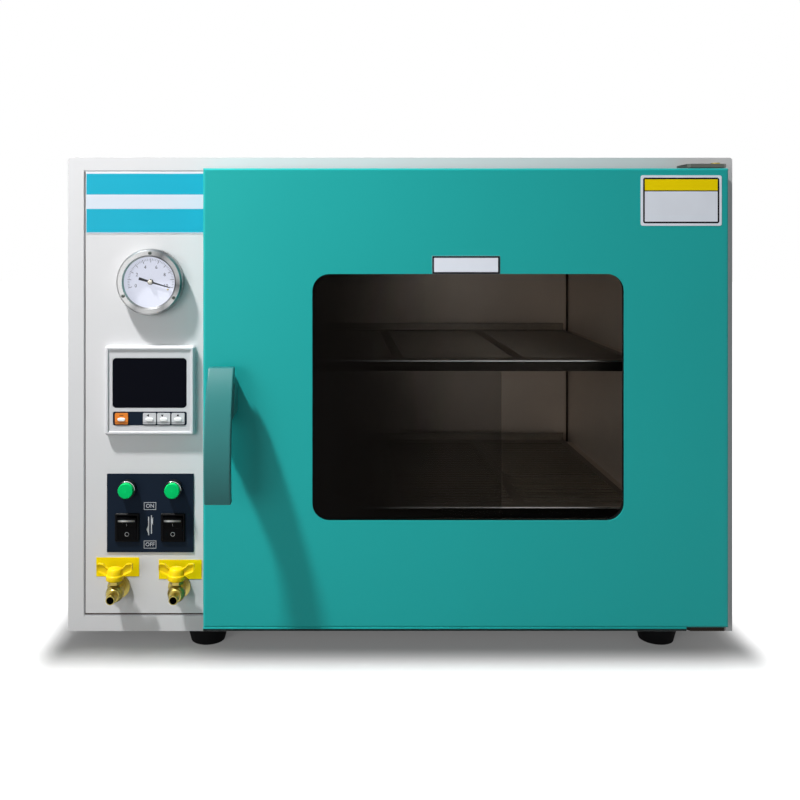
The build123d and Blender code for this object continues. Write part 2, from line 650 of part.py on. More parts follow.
nodes.update(controller_keys)
nodes["rocker_frames"], rocker_buttons = make_switches()
nodes.update(rocker_buttons)
nodes["lamp_collars"], nodes["lamp_lenses"] = make_lamps()
nodes["valve_bodies"], nodes["valve_nuts"], valve_handles = make_valves()
nodes.update(valve_handles)
nodes["vacuum_tubes"] = make_tubes()
nodes["solid_state_relay"], nodes["cord_gland"], nodes["gland_nut"] = make_electrics()

os.makedirs("parts", exist_ok=True)
for node_name, shape in nodes.items():
    export_step(shape, f"parts/{node_name}.step")
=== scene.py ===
import math
import bpy
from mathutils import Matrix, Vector


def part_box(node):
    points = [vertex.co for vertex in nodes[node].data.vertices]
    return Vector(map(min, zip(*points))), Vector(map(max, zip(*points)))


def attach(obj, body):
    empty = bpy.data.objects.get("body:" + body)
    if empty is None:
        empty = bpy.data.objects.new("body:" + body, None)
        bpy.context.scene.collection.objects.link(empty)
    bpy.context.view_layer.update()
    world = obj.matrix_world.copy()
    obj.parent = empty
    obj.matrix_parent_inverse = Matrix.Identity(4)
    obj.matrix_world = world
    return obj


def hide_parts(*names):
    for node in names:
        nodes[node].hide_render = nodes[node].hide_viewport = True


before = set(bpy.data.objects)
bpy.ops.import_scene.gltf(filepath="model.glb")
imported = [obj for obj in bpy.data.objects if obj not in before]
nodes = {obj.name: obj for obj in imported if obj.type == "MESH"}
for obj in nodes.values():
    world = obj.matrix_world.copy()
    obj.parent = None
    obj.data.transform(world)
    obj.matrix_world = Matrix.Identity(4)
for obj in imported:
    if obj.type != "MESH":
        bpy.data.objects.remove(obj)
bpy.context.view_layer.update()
mm = 0.001
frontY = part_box("outer_wrap")[0].y      # the plane of the cabinet's front strips
print("frame loaded,", len(nodes), "nodes")


class Wire:
    # a material's socket, so that shader maths reads as a plain expression
    def __init__(self, finish, socket):
        self.finish = finish
        self.socket = socket

    def maths(self, operation, first, second=None):
        values = {0: first} if second is None else {0: first, 1: second}
        return self.finish.add("ShaderNodeMath", {"operation": operation}, values)

    def __add__(self, other):
        return self.maths("ADD", self, other)

    __radd__ = __add__

    def __sub__(self, other):
        return self.maths("SUBTRACT", self, other)

    def __rsub__(self, other):
        return self.maths("SUBTRACT", other, self)

    def __mul__(self, other):
        return self.maths("MULTIPLY", self, other)

    __rmul__ = __mul__

    def __truediv__(self, other):
        return self.maths("DIVIDE", self, other)

    def __gt__(self, other):
        return self.maths("GREATER_THAN", self, other)

    def __lt__(self, other):
        return self.maths("LESS_THAN", self, other)

    def fraction(self):
        return self.maths("FRACT", self)

    def size(self):
        return self.maths("ABSOLUTE", self)

    def root(self):
        return self.maths("SQRT", self)

    def atLeast(self, limit):
        return self.maths("MAXIMUM", self, limit)

    def atMost(self, limit):
        return self.maths("MINIMUM", self, limit)


socketNames = {
    "colour": "Base Color", "metal": "Metallic", "rough": "Roughness", "gloss": "Specular IOR Level",
    "coat": "Coat Weight", "coatRough": "Coat Roughness", "sheen": "Sheen Weight", "alpha": "Alpha",
    "glow": "Emission Color", "glowStrength": "Emission Strength", "normal": "Normal",
}


class Wiring:
    # the nodes of a material or of the world
    def __init__(self, tree):
        self.tree = tree

    def add(self, kind, settings=None, values=None, output=0):
        node = self.tree.nodes.new(kind)
        for key, value in (settings or {}).items():
            if key == "stops":
                self.setStops(node.color_ramp, value)
            else:
                setattr(node, key, value)
        for key, value in (values or {}).items():
            if isinstance(value, Wire):
                self.tree.links.new(value.socket, node.inputs[key])
            else:
                node.inputs[key].default_value = value
        return Wire(self, node.outputs[output])

    def setStops(self, ramp, stops):
        while len(ramp.elements) < len(stops):
            ramp.elements.new(0.5)
        for element, (place, grey) in zip(ramp.elements, stops):
            element.position = place
            element.color = (grey, grey, grey, 1)

    def place(self):
        return self.add("ShaderNodeTexCoord", output="Object")

    def axes(self):
        split = self.add("ShaderNodeSeparateXYZ", values={0: self.place()})
        outputs = split.socket.node.outputs
        return [Wire(self, outputs[n]) for n in range(3)]

    def noise(self, scale, detail=3, stretch=(1, 1, 1)):
        mapped = self.add("ShaderNodeMapping", values={"Vector": self.place(), "Scale": stretch})
        return self.add("ShaderNodeTexNoise", {}, {"Vector": mapped, "Scale": scale, "Detail": detail})

    def ramp(self, value, stops):
        return self.add("ShaderNodeValToRGB", {"stops": stops}, {0: value})

    def mixColour(self, factor, first, second):
        colours = [value if isinstance(value, Wire) else (*value, 1) for value in (first, second)]
        values = {0: factor, 6: colours[0], 7: colours[1]}
        return self.add("ShaderNodeMix", {"data_type": "RGBA"}, values, 2)

    def bump(self, height, strength, depth):
        return self.add("ShaderNodeBump", {}, {"Strength": strength, "Distance": depth, "Height": height})


class Finish(Wiring):
    # one material: fixed values sit on its shader, and what varies is fed to it by nodes
    def __init__(self, name, **fixed):
        self.material = bpy.data.materials.new(name)
        self.material.use_nodes = True
        super().__init__(self.material.node_tree)
        self.shader = self.tree.nodes["Principled BSDF"]
        for key, value in fixed.items():
            if key in ("colour", "glow"):
                value = (*value, 1)
            self.shader.inputs[socketNames[key]].default_value = value

    def feed(self, **wires):
        for key, wire in wires.items():
            self.tree.links.new(wire.socket, self.shader.inputs[socketNames[key]])


def shade(colour, factor):
    return tuple(min(1, channel * factor) for channel in colour)


def between(value, low, high):
    # 1 where a coordinate lies between two places, 0 elsewhere
    return (value > low) * (value < high)


def besideNearer(across, left, right):
    # how far a point lies to the right of the nearer of a pair of parts
    middle = (left + right) / 2
    return (across - left) * (across < middle) + (across - right) * (across > middle)


def powderCoat(name, colour, rough=0.45, texture=700, depth=0.00004, mottle=0.04, gloss=0.4):
    # stoved powder paint: a fine orange peel, and a faint unevenness of colour and gloss
    finish = Finish(name, colour=colour, rough=rough, gloss=gloss)
    broad = finish.noise(7, 2)
    fine = finish.noise(texture, 2)
    finish.feed(colour=finish.mixColour(broad, shade(colour, 1 - mottle), shade(colour, 1 + mottle)),
                rough=rough - 0.06 + 0.12 * finish.noise(60, 3),
                normal=finish.bump(fine, 0.35, depth))
    return finish


def moulded(name, colour, rough=0.5, texture=1800, depth=0.00001, coat=0.0, gloss=0.4):
    # injection moulded plastic with a faint spark texture
    finish = Finish(name, colour=colour, rough=rough, coat=coat, coatRough=0.12, gloss=gloss)
    cloud = finish.noise(40, 2)
    finish.feed(colour=finish.mixColour(cloud, shade(colour, 0.96), shade(colour, 1.04)),
                rough=rough - 0.05 + 0.1 * finish.noise(150, 2),
                normal=finish.bump(finish.noise(texture, 1), 0.25, depth))
    return finish


def metal(name, colour, rough=0.25, brush=(1, 1, 1), grain=300, depth=0.000008, bare=1.0):
    # bare or plated metal; brush stretches its grain along the way it was polished
    finish = Finish(name, colour=colour, metal=bare, rough=rough)
    lines = finish.noise(grain, 4, brush)
    stain = finish.noise(25, 3)
    finish.feed(colour=finish.mixColour(stain, shade(colour, 0.9), shade(colour, 1.06)),
                rough=rough - 0.07 + 0.14 * lines,
                normal=finish.bump(lines, 0.3, depth))
    return finish


def rubber(name, colour):
    finish = Finish(name, colour=colour, rough=0.7, gloss=0.1)
    dust = finish.noise(90, 4)
    finish.feed(colour=finish.mixColour(dust, colour, shade(colour, 1.9)),
                rough=0.6 + 0.25 * dust,
                normal=finish.bump(finish.noise(900, 2), 0.4, 0.00003))
    return finish


def glassPane(name, colour, alpha, rough=0.03, gloss=0.06):
    # a thin pane: it lets light through by its alpha, so the room behind it stays lit
    finish = Finish(name, colour=colour, rough=rough, gloss=gloss, alpha=alpha)
    finish.feed(alpha=alpha - 0.02 + 0.04 * finish.noise(12, 2),
                rough=rough + 0.03 * finish.noise(30, 3))
    return finish


def headerFilm(name):
    # the printed film at the top of the control panel: two cyan bands on white
    bands = {"upper": (0.4901, 0.5126), "lower": (0.4490, 0.4746), "left": -0.3404}
    finish = Finish(name, rough=0.4, gloss=0.15)
    across, _, up = finish.axes()
    banded = between(up, *bands["upper"]) + between(up, *bands["lower"])
    inside = across > bands["left"]
    cyan = finish.mixColour(finish.noise(14, 2), (0.006, 0.36, 0.51), (0.010, 0.40, 0.56))
    finish.feed(colour=finish.mixColour(banded * inside, (0.62, 0.68, 0.76), cyan),
                rough=0.36 + 0.08 * finish.noise(200, 2))
    return finish


def bronzeGlass(name):
    # the outer pane: bronze glass whose opacity paints shade over the chamber behind it, nearly opaque
    # towards the latch and clearer towards the hinges; lamps' shadow rays see it nearly clear
    settings = {"dark": 0.985, "clear": 0.10, "from": -0.15, "to": 0.12, "cloud": 0.05, "patch": 0.104,
                "shelf": 0.303, "shadeOpacity": 0.2, "most": 0.99, "toLamps": 0.12}
    finish = Finish(name, colour=(0.002, 0.0014, 0.001), rough=0.02, gloss=0.03)
    across, _, up = finish.axes()
    cloud = finish.noise(9, 3)
    fade = finish.add("ShaderNodeMapRange", {"interpolation_type": "SMOOTHSTEP"}, {
        "Value": across + settings["cloud"] * cloud, "From Min": settings["from"],
        "From Max": settings["to"], "To Min": settings["dark"], "To Max": settings["clear"]})
    # painted shade, low down on the left under the shelf, left of the lit patch
    shadeUnderShelf = (across < settings["patch"]) * (up < settings["shelf"])
    seen = (fade + settings["shadeOpacity"] * shadeUnderShelf).atMost(settings["most"])
    lit = finish.add("ShaderNodeLightPath", output="Is Shadow Ray")
    finish.feed(alpha=seen * (1 - lit) + settings["toLamps"] * lit, rough=0.02 + 0.03 * finish.noise(30, 3))
    return finish


def shelfSteel(name):
    # perforated stainless sheet: brushed and dull, with painted shade on its front lip and a painted
    # highlight along the lip's folded edge
    settings = {"lip": 2.2 * mm, "below": 1.2 * mm, "above": 1.0 * mm}
    finish = Finish(name, metal=1.0, rough=0.36)
    lines = finish.noise(260, 4, (1, 14, 1))
    _, along, up = finish.axes()
    brushed = finish.mixColour(lines, (0.20, 0.17, 0.14), (0.30, 0.26, 0.22))
    lip = along < shelfEdge["front"] + settings["lip"]
    upper, lower = (between(up, shelfEdge[key] - settings["below"], shelfEdge[key] + settings["above"])
                    for key in ("upper", "lower"))
    # painted highlight in a thin band at each shelf's top edge, painted shade on the rest of the lip
    lipShadeAndHighlight = finish.mixColour(upper + lower, (0.018, 0.015, 0.013), (0.75, 0.68, 0.60))
    finish.feed(colour=finish.mixColour(lip, brushed, lipShadeAndHighlight), rough=0.3 + 0.14 * lines,
                normal=finish.bump(lines, 0.3, 0.000008))
    return finish


def turnedSteel(name):
    # the gauge's ring: fine turning marks, and painted reflection and shade: darker towards the upper right
    # and along the bottom
    settings = {"middle": (-0.2696, 0.3956), "grooves": 900, "toShade": (0.8, 0.45)}
    finish = Finish(name, metal=1.0, rough=0.3)
    across, _, up = finish.axes()
    dx = across - settings["middle"][0]
    dz = up - settings["middle"][1]
    radius = (dx * dx + dz * dz).root()
    rings = finish.noise(40, 1, (0.001, 0.001, 0.001))
    grooves = (radius * settings["grooves"]).fraction()
    side = (dx * settings["toShade"][0] + dz * settings["toShade"][1]) / radius
    # painted reflection, dark towards the upper right, and painted shade along the bottom
    dark = finish.ramp(side.atLeast(0), [(0.0, 0.0), (0.45, 0.12), (0.75, 0.75), (0.9, 0.25), (1.0, 0.5)])
    low = finish.ramp((0 - dz) / radius, [(0.0, 0.0), (0.7, 0.0), (0.88, 0.5), (1.0, 0.15)])
    shadeBand = (dark + low + 0.12 * grooves + 0.1 * rings).atMost(1)
    finish.feed(colour=finish.mixColour(shadeBand, (0.46, 0.46, 0.46), (0.05, 0.055, 0.06)),
                rough=0.26 + 0.1 * grooves)
    return finish


def lampSteel(name):
    # the lamps' rims: bright on the upper right, in shade elsewhere
    settings = {"left": -0.2949, "right": -0.2452, "height": 0.1722, "toBright": (0.55, 0.83), "steep": 110}
    finish = Finish(name, metal=1.0, rough=0.25)
    across, _, up = finish.axes()
    beside = besideNearer(across, settings["left"], settings["right"]) * settings["toBright"][0]
    above = (up - settings["height"]) * settings["toBright"][1]
    toward = (beside + above) * settings["steep"]
    bright = finish.ramp(toward, [(0.0, 0.0), (0.45, 0.02), (0.75, 0.8), (1.0, 1.0)])
    finish.feed(colour=finish.mixColour(bright, (0.01, 0.012, 0.013), (0.8, 0.8, 0.8)),
                rough=0.22 + 0.1 * finish.noise(300, 2))
    return finish


def turnedBrass(name):
    # olive brass, tarnished in patches, with painted shade, nearly black, inside the bores of the two hose
    # nozzles
    bores = {"left": -0.3045, "right": -0.239, "height": 0.066, "radius": 0.0039, "front": -0.19}
    finish = Finish(name, metal=1.0, rough=0.3)
    across, along, up = finish.axes()
    stain = finish.noise(60, 4)
    lines = finish.noise(400, 3)
    dx = besideNearer(across, bores["left"], bores["right"])
    dz = up - bores["height"]
    boreShade = ((dx * dx + dz * dz).root() < bores["radius"]) * (along < bores["front"])
    brass = finish.mixColour(stain, (0.27, 0.20, 0.045), (0.50, 0.42, 0.13))
    finish.feed(colour=finish.mixColour(boreShade, brass, (0.004, 0.003, 0.002)),
                rough=0.26 + 0.12 * lines, normal=finish.bump(lines, 0.3, 0.000008))
    return finish


def hemPaint(name):
    # the door's paint, with painted shade, nearly black, below where the fold turns under
    shadeBelow = 34.2 * mm
    finish = Finish(name, rough=0.45, gloss=0.1)
    _, _, up = finish.axes()
    tone = finish.mixColour(finish.noise(60, 2), (0.010, 0.33, 0.315), (0.013, 0.37, 0.355))
    finish.feed(colour=finish.mixColour(up < shadeBelow, tone, (0.003, 0.008, 0.008)),
                rough=0.42 + 0.1 * finish.noise(150, 2))
    return finish


def hingeSteel(name):
    # dull plated plate, with painted shade, nearly black, on the lower hinge, which stands in the dark
    # under the door
    lowerTop = 60 * mm
    finish = Finish(name, metal=1.0, rough=0.42)
    _, _, up = finish.axes()
    stain = finish.noise(25, 3)
    plated = finish.mixColour(stain, (0.09, 0.10, 0.09), (0.106, 0.117, 0.106))
    finish.feed(colour=finish.mixColour(up < lowerTop, plated, (0.016, 0.012, 0.010)),
                rough=0.35 + 0.14 * finish.noise(300, 4))
    return finish


def dialFace(name, colour):
    # enamelled dial: a dark base colour with a painted glow that lifts it to white and fills the ring's
    # shadow, though the dial gives no light
    finish = Finish(name, rough=0.5, gloss=0.2, glow=(0.82, 0.85, 1.0), glowStrength=0.7)
    finish.feed(colour=finish.mixColour(finish.noise(40, 2), shade(colour, 0.97), shade(colour, 1.03)),
                rough=0.46 + 0.08 * finish.noise(150, 2))
    return finish


def rockerPlastic(name):
    # glossy black, with a painted highlight strip near the upper end of each rocker, brightest left of its
    # middle
    highlightStrips = {"left": -0.2956, "right": -0.246, "low": 0.1366, "high": 0.1388, "reach": 0.0092,
              "steep": 50}
    finish = Finish(name, rough=0.3, gloss=0.03)
    across, _, up = finish.axes()
    wear = finish.noise(220, 2)
    beside = besideNearer(across, highlightStrips["left"], highlightStrips["right"])
    paintedHighlight = between(up, highlightStrips["low"], highlightStrips["high"]) * (beside.size() < highlightStrips["reach"])
    shine = finish.ramp(beside * highlightStrips["steep"] + 0.5,
                        [(0.0, 0.15), (0.3, 1.0), (0.62, 0.35), (1.0, 0.1)])
    finish.feed(colour=finish.mixColour(paintedHighlight * shine, (0.0014, 0.0014, 0.0018), (0.95, 0.95, 0.97)),
                rough=0.26 + 0.1 * wear)
    return finish


def keyCap(name, colour):
    # a moulded key: its raised pill is pale, with painted shade in a band under the pill's lower edge
    settings = {"pillFace": -0.18678, "shadeStrip": (0.2431, 0.2452), "shadeAmount": 0.55}
    finish = Finish(name, rough=0.45, gloss=0.3)
    _, along, up = finish.axes()
    pill = along < settings["pillFace"]
    under = between(up, *settings["shadeStrip"]) * (1 - pill)
    grain = finish.noise(900, 2)
    face = finish.mixColour(grain, shade(colour, 0.96), shade(colour, 1.04))
    shaded = finish.mixColour(under * settings["shadeAmount"], face, shade(colour, 0.25))
    finish.feed(colour=finish.mixColour(pill, shaded, (0.88, 0.88, 0.88)), rough=0.4 + 0.1 * grain)
    return finish


def quilted(name, colour):
    # the tufts of a mineral wool blanket
    finish = Finish(name, colour=colour, rough=0.9, sheen=0.2)
    tufts = finish.noise(220, 5)
    finish.feed(colour=finish.mixColour(tufts, shade(colour, 0.75), colour),
                normal=finish.bump(tufts, 0.8, 0.0006))
    return finish


lowShelf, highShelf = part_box("shelf_lower"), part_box("shelf_upper")
rearFlange = 10 * mm
shelfEdge = {"front": lowShelf[0].y, "lower": lowShelf[1].z - rearFlange,
             "upper": highShelf[1].z - rearFlange}

finishes = {
    "cabinet": powderCoat("cabinetPaint", (0.66, 0.66, 0.67), 0.5),
    "door": powderCoat("doorPaint", (0.012, 0.38, 0.366), 0.4, 900, 0.00003, 0.03, 0.2),
    "handle": powderCoat("handlePaint", (0.018, 0.150, 0.147), 0.36, 900, 0.00002, 0.04, 0.3),
    "sheet": metal("galvanisedSheet", (0.42, 0.43, 0.45), 0.5, (1, 1, 1), 40, 0.00001),
    "chamber": metal("chamberSteel", (0.70, 0.60, 0.51), 0.40, (1, 1, 14), 260, bare=0.45),
    "shelf": shelfSteel("shelfSteel"),
    "bright": metal("brightSteel", (0.72, 0.72, 0.74), 0.18),
    "turned": turnedSteel("turnedSteel"),
    "brass": turnedBrass("turnedBrass"),
    "copper": metal("copperTube", (0.62, 0.30, 0.18), 0.3),
    "rubber": rubber("blackRubber", (0.003, 0.003, 0.0035)),
    "silicone": moulded("siliconeSeal", (0.55, 0.50, 0.45), 0.55),
    "blanket": quilted("mineralWool", (0.72, 0.70, 0.64)),
    "foil": metal("foilMat", (0.65, 0.65, 0.66), 0.35, (1, 1, 1), 80, 0.0001),
    "film": headerFilm("headerPrint"),
    "navy": moulded("navyPlate", (0.0085, 0.015, 0.028), 0.42, gloss=0.04),
    "yellowPlate": moulded("yellowFilm", (0.96, 0.73, 0.002), 0.5, gloss=0.04),
    "yellowCoat": moulded("yellowCoat", (0.86, 0.60, 0.003), 0.36, 1200, 0.00003, 0.05, 0.12),
    "dial": dialFace("dialFace", (0.25, 0.26, 0.29)),
    "lens": glassPane("gaugeGlass", (0.5, 0.52, 0.55), 0.03),
    "tinted": bronzeGlass("bronzeGlass"),
    "clear": glassPane("toughenedGlass", (0.004, 0.006, 0.005), 0.06, 0.02, 0.0),
    "bezel": moulded("bezelPlastic", (0.60, 0.60, 0.62), 0.42, gloss=0.3),
    "black": moulded("blackPlastic", (0.0025, 0.0025, 0.003), 0.36, gloss=0.05),
    "screen": moulded("displayWindow", (0.0025, 0.003, 0.006), 0.2, 1800, 0.000002, 0.0, 0.02),
    "rocker": rockerPlastic("rockerPlastic"),
    "orangeKey": keyCap("orangeKey", (0.78, 0.22, 0.02)),
    "whiteKey": keyCap("whiteKey", (0.62, 0.62, 0.64)),
    "green": moulded("greenLens", (0.0, 0.56, 0.14), 0.4, 900, 0.00001, 0.0, 0.06),
    "lampSteel": lampSteel("lampSteel"),
    # dark bead of the chamber's welded seams, also the painted shade in the control panel's gap
    "seamAndGapShade": moulded("seamBeadAndGapShade", (0.035, 0.018, 0.010), 0.6, gloss=0.1),
    "needle": moulded("needleBlack", (0.006, 0.006, 0.009), 0.5, gloss=0.1),
    "cream": moulded("hubCream", (0.72, 0.68, 0.58), 0.3),
    "keyBrown": moulded("keyPrint", (0.20, 0.07, 0.02), 0.5, gloss=0.1),
    "printWhite": moulded("switchPrintInk", (0.52, 0.54, 0.57), 0.5, gloss=0.1),
    "printGrey": moulded("rockerPrintInk", (0.34, 0.35, 0.36), 0.5, gloss=0.1),
    "labelWhite": moulded("labelStock", (0.80, 0.84, 0.92), 0.4, gloss=0.2),
    "hinge": hingeSteel("hingeSteel"),
    "hem": hemPaint("hemPaint"),
    "collar": moulded("lampCollar", (0.010, 0.012, 0.014), 0.35, gloss=0.15),
}

finishOf = {
    "cabinet": ["outer_wrap", "base_pan", "rear_cover", "control_panel"],
    "door": ["door_shell"],
    "handle": ["door_handle"],
    "sheet": ["front_frame", "bulkhead", "chamber_rails", "door_inner_panel"],
    "chamber": ["inner_chamber", "temperature_probe", "shelf_rails"],
    "shelf": ["shelf_upper", "shelf_lower"],
    "bright": ["latch_keeper", "latch_shaft", "foot_screws", "cover_screws"],
    "hinge": ["hinge_brackets", "gauge_screws"],
    "turned": ["gauge_bezel", "gauge_case"],
    "brass": ["valve_bodies", "valve_nuts", "hinge_pins", "hinge_bushes", "handle_bush"],
    "copper": ["vacuum_tubes"],
    "rubber": ["feet", "window_seal"],
    "silicone": ["door_gasket"],
    "blanket": ["insulation_blanket"],
    "foil": ["heater_plates", "solid_state_relay"],
    "film": ["header_film"],
    "navy": ["switch_plate", "key_strip"],
    "yellowPlate": ["valve_labels"],
    "yellowCoat": ["valve_handle_left", "valve_handle_right"],
    "dial": ["gauge_dial"],
    "lens": ["gauge_lens"],
    "tinted": ["outer_glass"],
    "clear": ["inner_glass"],
    "bezel": ["controller_bezel"],
    "collar": ["lamp_collars"],
    "black": ["controller_case", "rocker_frames", "cord_gland", "gland_nut"],
    "rocker": ["rocker_power", "rocker_heat"],
    "screen": ["controller_screen"],
    "orangeKey": ["key_set"],
    "whiteKey": ["key_shift", "key_down", "key_up"],
    "green": ["lamp_lenses"],
    "needle": ["gauge_pointer"],
}
for key, names in finishOf.items():
    for name in names:
        for slot in nodes[name].material_slots:
            slot.material = finishes[key].material
print("materials on", sum(len(names) for names in finishOf.values()), "nodes")


facingFront = (math.radians(90), 0, 0)


def chooseOnly(piece):
    bpy.ops.object.select_all(action="DESELECT")
    piece.select_set(True)
    bpy.context.view_layer.objects.active = piece


def dress(piece, name, body, finish):
    # leave the object at the origin with its place in its mesh, name it, finish it and let it ride
    chooseOnly(piece)
    bpy.ops.object.transform_apply(location=True, rotation=True, scale=True)
    piece.name = name
    piece.data.name = name
    if finish:
        piece.data.materials.append(finishes[finish].material)
    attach(piece, body)


def joined(pieces):
    # several meshes made into one piece
    bpy.ops.object.select_all(action="DESELECT")
    for piece in pieces:
        piece.select_set(True)
    bpy.context.view_layer.objects.active = pieces[0]
    bpy.ops.object.transform_apply(location=True, rotation=True, scale=True)
    bpy.ops.object.join()
    return bpy.context.object


def copyOf(piece):
    twin = piece.copy()
    twin.data = piece.data.copy()
    bpy.context.scene.collection.objects.link(twin)
    return twin


def pickFaces(piece, test):
    # in edit mode: select just the faces whose middle and normal pass the test
    bpy.ops.mesh.select_mode(type="FACE")
    bpy.ops.mesh.select_all(action="DESELECT")
    bpy.ops.object.mode_set(mode="OBJECT")
    for face in piece.data.polygons:
        face.select = test(face.center, face.normal)
    bpy.ops.object.mode_set(mode="EDIT")


def pickEdges(piece, test):
    # in edit mode: select just the edges whose two ends pass the test
    bpy.ops.mesh.select_mode(type="EDGE")
    bpy.ops.mesh.select_all(action="DESELECT")
    bpy.ops.object.mode_set(mode="OBJECT")
    points = piece.data.vertices
    for edge in piece.data.edges:
        edge.select = test(points[edge.vertices[0]].co, points[edge.vertices[1]].co)
    bpy.ops.object.mode_set(mode="EDIT")


def softenEdges(piece, width, segments=2, angle=40):
    # round the sharp edges and shade the piece smooth between them
    chooseOnly(piece)
    bpy.ops.object.transform_apply(location=True, rotation=True, scale=True)
    bevel = piece.modifiers.new("edges", "BEVEL")
    bevel.width = width
    bevel.segments = segments
    bevel.limit_method = "ANGLE"
    bevel.angle_limit = math.radians(angle)
    bpy.ops.object.modifier_apply(modifier=bevel.name)
    bpy.ops.object.shade_smooth_by_angle(angle=math.radians(35))


def block(width, depth, height, place):
    # a cuboid about its middle
    bpy.ops.object.select_all(action="DESELECT")
    bpy.ops.mesh.primitive_cube_add(size=1, location=place)
    shape = bpy.context.object
    shape.scale = (width, depth, height)
    bpy.ops.object.transform_apply(location=True, rotation=True, scale=True)
    return shape


def rod(radius, length, place, turn=(0, 0, 0), sides=12):
    # a cylinder about its middle, upright where it isn't turned
    bpy.ops.object.select_all(action="DESELECT")
    bpy.ops.mesh.primitive_cylinder_add(vertices=sides, radius=radius, depth=length, location=place,
                                        rotation=turn)
    return bpy.context.object


def printedText(words, size, place, thickness=0.00008):
    # raised lettering that faces the front
    bpy.ops.object.select_all(action="DESELECT")
    bpy.ops.object.text_add(location=place, rotation=facingFront)
    text = bpy.context.object
    text.data.body = words
    text.data.size = size
    text.data.extrude = thickness
    text.data.resolution_u = 3
    text.data.align_x = "CENTER"
    text.data.align_y = "CENTER"
    bpy.ops.object.convert(target="MESH")
    return bpy.context.object


def printedPolygon(sides, radius, place, spin=0.0, stretch=(1, 1), thickness=0.0001):
    # a small raised polygon that faces the front, such as an arrow head
    bpy.ops.object.select_all(action="DESELECT")
    bpy.ops.mesh.primitive_circle_add(vertices=sides, radius=radius, fill_type="NGON")
    shape = bpy.context.object
    bpy.ops.object.mode_set(mode="EDIT")
    bpy.ops.mesh.select_all(action="SELECT")
    bpy.ops.mesh.extrude_region_move(TRANSFORM_OT_translate={"value": (0, 0, thickness)})
    bpy.ops.mesh.select_all(action="SELECT")
    bpy.ops.mesh.normals_make_consistent(inside=False)
    bpy.ops.object.mode_set(mode="OBJECT")
    shape.rotation_euler = (0, 0, spin)
    bpy.ops.object.transform_apply(location=False, rotation=True, scale=False)
    shape.scale = (*stretch, 1)
    shape.rotation_euler = facingFront
    shape.location = place
    bpy.ops.object.transform_apply(location=True, rotation=True, scale=True)
    return shape


def printedBar(width, height, place, thickness=0.0001):
    # a flat bar that faces the front
    return block(width, thickness, height, place)


def printedFrame(width, height, line, place):
    # a thin rectangular outline that faces the front
    x, y, z = place
    sides = []
    for side in (-1, 1):
        sides.append(printedBar(width, line, (x, y, z + side * (height - line) / 2)))
        sides.append(printedBar(line, height - 2 * line, (x + side * (width - line) / 2, y, z)))
    return joined(sides)


def printedRing(radius, line, place, turn=0.0, steps=32):
    # a thin ring that faces the front, squashed flat
    bpy.ops.object.select_all(action="DESELECT")
    bpy.ops.mesh.primitive_torus_add(major_radius=radius, minor_radius=line, major_segments=steps,
                                     minor_segments=8)
    ring = bpy.context.object
    ring.scale = (1, 1, 0.5)
    ring.rotation_euler = (math.radians(90) + turn, 0, 0)
    ring.location = place
    bpy.ops.object.transform_apply(location=True, rotation=True, scale=True)
    bpy.ops.object.shade_smooth()
    return ring


gauge = {
    "across": -269.6 * mm, "height": 395.6 * mm, "face": frontY - 3.5 * mm,
    "from": 195, "sweep": 210, "long": 10, "fine": 50, "rim": 25.2 * mm,
    "longTick": 4.2 * mm, "fineTick": 2.2 * mm, "longLine": 0.5 * mm, "fineLine": 0.3 * mm,
    "numbers": 16.8 * mm, "numberSize": 5.2 * mm, "numberDepth": 0.04 * mm, "lift": 0.02 * mm,
}


def makeGaugeScale():
    # the dial's print: a scale from the lower left over the top to the pointer's rest
    middle = Vector((gauge["across"], gauge["face"] - gauge["lift"], gauge["height"]))
    marks = []
    for step in range(gauge["fine"] + 1):
        isLong = step % (gauge["fine"] // gauge["long"]) == 0
        kind = "long" if isLong else "fine"
        length, line = gauge[kind + "Tick"], gauge[kind + "Line"]
        angle = math.radians(gauge["from"] - gauge["sweep"] * step / gauge["fine"])
        mark = printedBar(line, length, (0, 0, gauge["rim"] - length / 2))
        mark.rotation_euler = (0, math.radians(90) - angle, 0)
        mark.location = middle
        marks.append(mark)
    for step in range(0, gauge["long"] + 1, 2):
        angle = math.radians(gauge["from"] - gauge["sweep"] * step / gauge["long"])
        offset = Vector((math.cos(angle), 0, math.sin(angle))) * gauge["numbers"]
        marks.append(printedText(str(step), gauge["numberSize"], middle + offset, gauge["numberDepth"]))
    dress(joined(marks), "gaugeScale", "cabinet", "needle")


hubCap = {"out": 3.9 * mm, "radius": 2.5 * mm, "depth": 1.4 * mm, "step": 0.8 * mm, "rise": 0.5 * mm}
stopPin = {"across": -251.0 * mm, "height": 387.4 * mm, "out": 1.3 * mm, "radius": 0.85 * mm,
           "depth": 2.6 * mm}


def makeGaugeFittings():
    # the cap on the pointer's hub, and the pin that the pointer rests against
    middle = (gauge["across"], gauge["face"] - hubCap["out"], gauge["height"])
    cap = rod(hubCap["radius"], hubCap["depth"], middle, facingFront, 32)
    bpy.ops.object.transform_apply(location=True, rotation=True, scale=True)
    bpy.ops.object.mode_set(mode="EDIT")
    pickFaces(cap, lambda middle, normal: normal.y < -0.9)
    bpy.ops.mesh.inset(thickness=hubCap["step"])
    bpy.ops.mesh.extrude_region_move(TRANSFORM_OT_translate={"value": (0, -hubCap["rise"], 0)})
    bpy.ops.object.mode_set(mode="OBJECT")
    softenEdges(cap, 0.35 * mm, 3)
    dress(cap, "gaugeHubCap", "pointer", "cream")

    place = (stopPin["across"], gauge["face"] - stopPin["out"], stopPin["height"])
    pin = rod(stopPin["radius"], stopPin["depth"], place, facingFront, 20)
    softenEdges(pin, 0.25 * mm)
    dress(pin, "gaugeStopPin", "cabinet", "brass")


